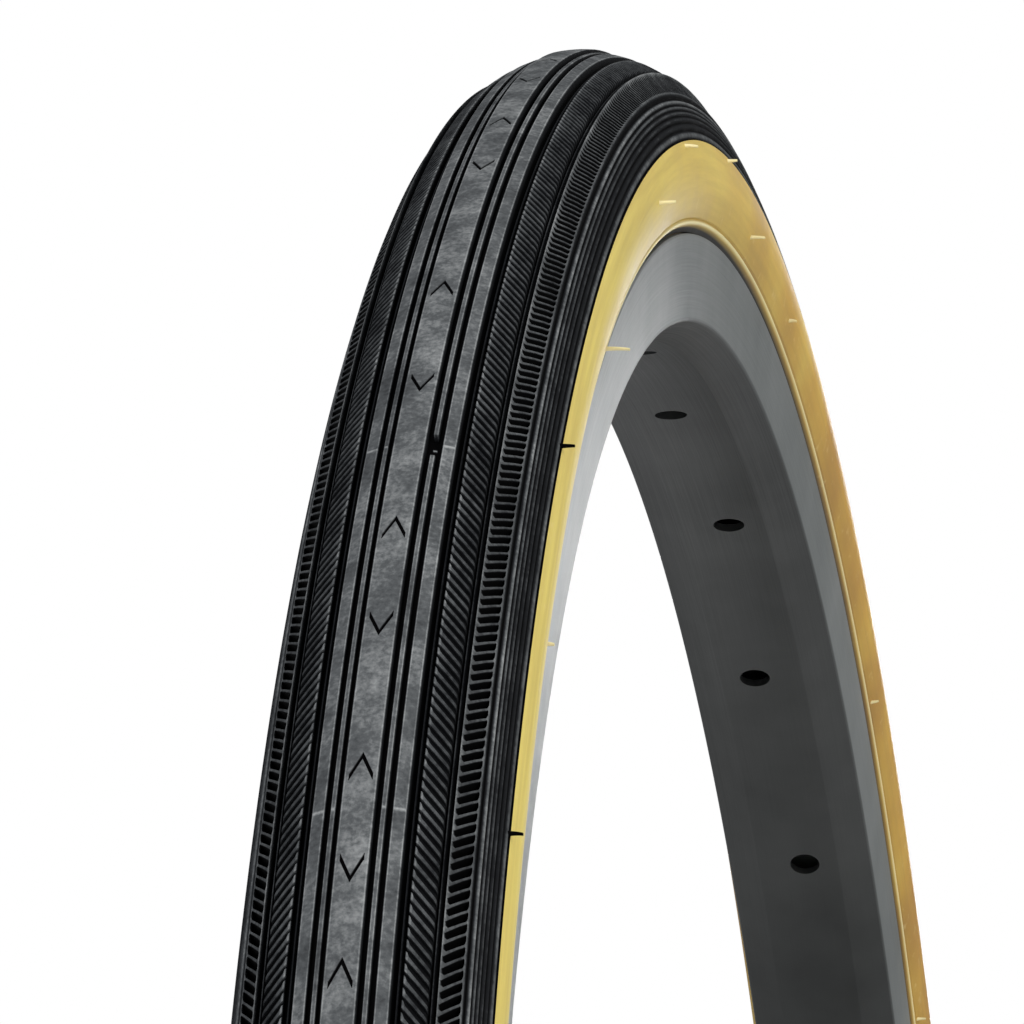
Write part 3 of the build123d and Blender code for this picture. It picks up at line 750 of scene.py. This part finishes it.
def scratch_object(name, points, faces):
    mesh = bpy.data.meshes.new(name)
    mesh.from_pydata([tuple(Vector(p) * MM) for p in points], [], faces)
    made = bpy.data.objects.new(name, mesh)
    bpy.context.scene.collection.objects.link(made)
    return made


def cut(piece, cutter):
    """Takes the cutter's volume out of the piece and removes the cutter."""
    modifier = piece.modifiers.new("cut", "BOOLEAN")
    modifier.operation = "DIFFERENCE"
    modifier.solver = "EXACT"
    modifier.object = cutter
    bpy.context.view_layer.update()
    evaluated = piece.evaluated_get(bpy.context.evaluated_depsgraph_get())
    mesh = bpy.data.meshes.new_from_object(evaluated)
    piece.modifiers.clear()
    piece.data = mesh
    bpy.data.objects.remove(cutter)


def rim_piece():
    full, hollow = rim_loops()
    full = np.array(full)
    hollow = np.array(hollow)
    piece = ring("rim_shell", ANGLES[:, None], full[None, :, 0], full[None, :, 1], "rim_alloy",
                 replaces=["rim"], flip=True)
    room = wheel_points(ANGLES[:, None], hollow[None, :, 0], hollow[None, :, 1])
    faces = [face[::-1] for face in ring_faces(RING_STEPS, len(hollow))]
    cut(piece, scratch_object("rim_room", [Vector(p) for p in room.reshape(-1, 3)], faces))
    holes = []
    for index in range(SPOKES):
        angle = (index + 0.5) * TURN / SPOKES
        across = SPOKE_STAGGER if index % 2 else -SPOKE_STAGGER
        way = Vector((math.sin(angle), 0, math.cos(angle)))
        offset = Vector((0, across, 0))
        holes.append(cylinder(SPOKE_HOLE_RADIUS, way * 302 + offset, way * 308.5 + offset))
        holes.append(cylinder(ACCESS_HOLE_RADIUS, way * 309.5 + offset, way * 313.5 + offset))
    down = Vector((0, 0, -1))
    holes.append(cylinder(VALVE_HOLE_RADIUS, down * 301, down * 316))
    cut(piece, scratch_object("rim_holes", *joined(holes)))
    piece.data.shade_smooth()
    piece.data.set_sharp_from_angle(angle=math.radians(30))


# ---- Making ----

tread_base()
centre_rib()
for side, word in ((1, "left"), (-1, "right")):
    slashed_row(side, "tread_slashes_" + word)
    ladder_row(side, "tread_ladder_" + word)
    shoulder(side, "tread_shoulder_" + word)
    whiskers(side, word)
    gum(side, "gum_" + word, "sidewall_" + word)
rim_piece()

for subpart in frame["record"]["subparts"]:
    node = frame["nodes"][subpart["node"]]
    node.data.materials.clear()
    node.data.materials.append(LOOKS[subpart["material_slot"]])


# ---- Light and camera ----

FILL_LIGHT = 0.30


def area_light(name, place, target, size, power, colour=(1, 1, 1)):
    light = bpy.data.lights.new(name, "AREA")
    light.shape = "DISK"
    light.size = size
    light.energy = power
    light.color = colour
    made = bpy.data.objects.new(name, light)
    bpy.context.scene.collection.objects.link(made)
    made.location = place
    made.rotation_euler = (Vector(target) - Vector(place)).to_track_quat("-Z", "Y").to_euler()


def floor():
    size = 6.0
    low = cad_box[0][2]
    mesh = bpy.data.meshes.new("floor")
    corners = [(-size, -size, low), (size, -size, low), (size, size, low), (-size, size, low)]
    mesh.from_pydata(corners, [], [(0, 1, 2, 3)])
    made = bpy.data.objects.new("floor", mesh)
    bpy.context.scene.collection.objects.link(made)
    mesh.materials.append(material("floor", plain_look((0.86, 0.86, 0.86), (0.90, 0.90, 0.90), 3, 0.6, 0.7)))


def world():
    made = bpy.data.worlds.new("studio")
    bpy.context.scene.world = made
    made.use_nodes = True
    tree = made.node_tree
    seen = tree.nodes["Background"]
    seen.inputs["Color"].default_value = (1, 1, 1, 1)
    seen.inputs["Strength"].default_value = 1.0
    fill = tree.nodes.new("ShaderNodeBackground")
    fill.inputs["Color"].default_value = (0.97, 0.985, 1.0, 1)
    fill.inputs["Strength"].default_value = FILL_LIGHT
    path = tree.nodes.new("ShaderNodeLightPath")
    mixed = tree.nodes.new("ShaderNodeMixShader")
    tree.links.new(path.outputs["Is Camera Ray"], mixed.inputs[0])
    tree.links.new(fill.outputs[0], mixed.inputs[1])
    tree.links.new(seen.outputs[0], mixed.inputs[2])
    tree.links.new(mixed.outputs[0], tree.nodes["World Output"].inputs["Surface"])


def camera():
    lens = bpy.data.cameras.new("camera")
    lens.sensor_width = 36.0
    lens.lens = 270.87
    lens.clip_start = 0.01
    made = bpy.data.objects.new("camera", lens)
    bpy.context.scene.collection.objects.link(made)
    place = Vector((-1.1563, -0.1497, -0.1179))
    target = Vector((-0.0390, 0.0246, 0.2838))
    made.location = place
    made.rotation_euler = (target - place).to_track_quat("-Z", "Y").to_euler()
    bpy.context.scene.camera = made


floor()
world()
camera()
area_light("key", (-1.7, 0.1, 1.2), (-0.2, 0, 0.15), 1.2, 22)
area_light("side", (-0.9, -2.0, 0.8), (-0.15, 0, 0.15), 1.4, 24, (1, 0.985, 0.94))
area_light("back", (2.05, 0.14, 1.0), (-0.25, 0, 0.2), 0.5, 16)
bpy.context.scene.view_settings.view_transform = "Standard"
